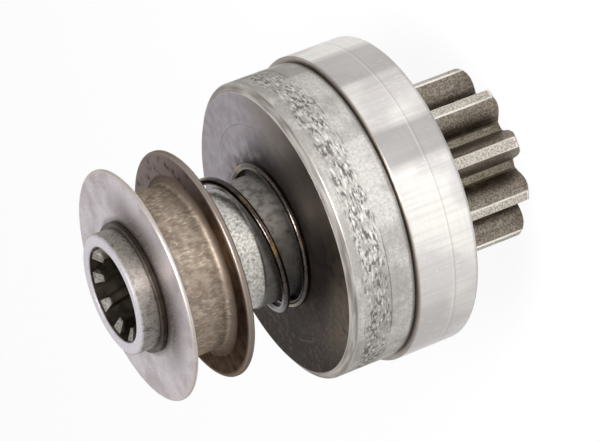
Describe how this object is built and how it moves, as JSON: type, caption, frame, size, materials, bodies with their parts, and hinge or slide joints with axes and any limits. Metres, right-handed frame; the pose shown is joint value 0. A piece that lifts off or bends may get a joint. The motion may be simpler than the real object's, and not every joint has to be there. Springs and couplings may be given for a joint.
{
  "type": "starter drive",
  "caption": "Overrunning starter clutch with a toothed pinion, rolled casing, splined sleeve, buffer spring and two-flange shift spool.",
  "frame": {"origin": "centre of the pinion's end face, which the part stands on", "axes": "+Z along the axis towards the open end of the splined sleeve; +X is a direction across the axis"},
  "size_m": [0.065, 0.065, 0.086],
  "materials": {
    "pinion_steel": "rough dull steel, bright lands",
    "casing_steel": "bright satin steel",
    "race_steel": "turned steel with a pitted band",
    "sleeve_steel": "ground steel",
    "disc_steel": "satin sheet steel",
    "cup_steel": "brownish treated sheet steel",
    "spring_steel": "dark oiled spring steel",
    "washer_steel": "plain steel",
    "roller_steel": "hardened and ground steel",
    "bronze": "bearing bronze"
  },
  "bodies": {
    "drive": {"outer_race": "race_steel", "splined_sleeve": "sleeve_steel", "casing": "casing_steel", "thrust_washer": "washer_steel", "roller_washer": "washer_steel", "snap_ring": "spring_steel", "plunger_spring_1": "spring_steel", "spring_stop_1": "roller_steel", "plunger_spring_2": "spring_steel", "spring_stop_2": "roller_steel", "plunger_spring_3": "spring_steel", "spring_stop_3": "roller_steel", "plunger_spring_4": "spring_steel", "spring_stop_4": "roller_steel"},
    "pinion": {"pinion": "pinion_steel", "pinion_front_bush": "bronze", "pinion_rear_bush": "bronze", "lock_half_ring_1": "washer_steel", "lock_half_ring_2": "washer_steel"},
    "spring": {"buffer_spring": "spring_steel"},
    "spool": {"spool_cup": "cup_steel", "spool_disc": "disc_steel"},
    "plunger_1": {"plunger_1": "roller_steel"},
    "roller_1": {"roller_1": "roller_steel"},
    "plunger_2": {"plunger_2": "roller_steel"},
    "roller_2": {"roller_2": "roller_steel"},
    "plunger_3": {"plunger_3": "roller_steel"},
    "roller_3": {"roller_3": "roller_steel"},
    "plunger_4": {"plunger_4": "roller_steel"},
    "roller_4": {"roller_4": "roller_steel"}
  },
  "joints": [
    {"name": "pinion_spin", "type": "hinge", "parent": "drive", "child": "pinion", "pos_m": [0, 0, 0], "axis": [0, 0, 1], "continuous": true},
    {"name": "spool_turn", "type": "hinge", "parent": "drive", "child": "spring", "pos_m": [0, 0, 0], "axis": [0, 0, 1], "continuous": true},
    {"name": "spool_slide", "type": "slide", "parent": "spring", "child": "spool", "axis": [0, 0, -1], "range_m": [0, 0.017], "stiffness_N_per_m": 1200, "springref_m": -0.01, "deforming": ["buffer_spring"]},
    {"name": "plunger_1_slide", "type": "slide", "parent": "drive", "child": "plunger_1", "axis": [-0.4226, 0.9063, 0], "range_m": [0, 0.0012], "stiffness_N_per_m": 1900, "springref_m": -0.002, "deforming": ["plunger_spring_1"]},
    {"name": "roller_1_spin", "type": "hinge", "parent": "plunger_1", "child": "roller_1", "pos_m": [0.01885, 0.00879, 0], "axis": [0, 0, 1], "continuous": true},
    {"name": "plunger_2_slide", "type": "slide", "parent": "drive", "child": "plunger_2", "axis": [-0.9063, -0.4226, 0], "range_m": [0, 0.0012], "stiffness_N_per_m": 1900, "springref_m": -0.002, "deforming": ["plunger_spring_2"]},
    {"name": "roller_2_spin", "type": "hinge", "parent": "plunger_2", "child": "roller_2", "pos_m": [-0.00879, 0.01885, 0], "axis": [0, 0, 1], "continuous": true},
    {"name": "plunger_3_slide", "type": "slide", "parent": "drive", "child": "plunger_3", "axis": [0.4226, -0.9063, 0], "range_m": [0, 0.0012], "stiffness_N_per_m": 1900, "springref_m": -0.002, "deforming": ["plunger_spring_3"]},
    {"name": "roller_3_spin", "type": "hinge", "parent": "plunger_3", "child": "roller_3", "pos_m": [-0.01885, -0.00879, 0], "axis": [0, 0, 1], "continuous": true},
    {"name": "plunger_4_slide", "type": "slide", "parent": "drive", "child": "plunger_4", "axis": [0.9063, 0.4226, 0], "range_m": [0, 0.0012], "stiffness_N_per_m": 1900, "springref_m": -0.002, "deforming": ["plunger_spring_4"]},
    {"name": "roller_4_spin", "type": "hinge", "parent": "plunger_4", "child": "roller_4", "pos_m": [0.00879, -0.01885, 0], "axis": [0, 0, 1], "continuous": true}
  ]
}
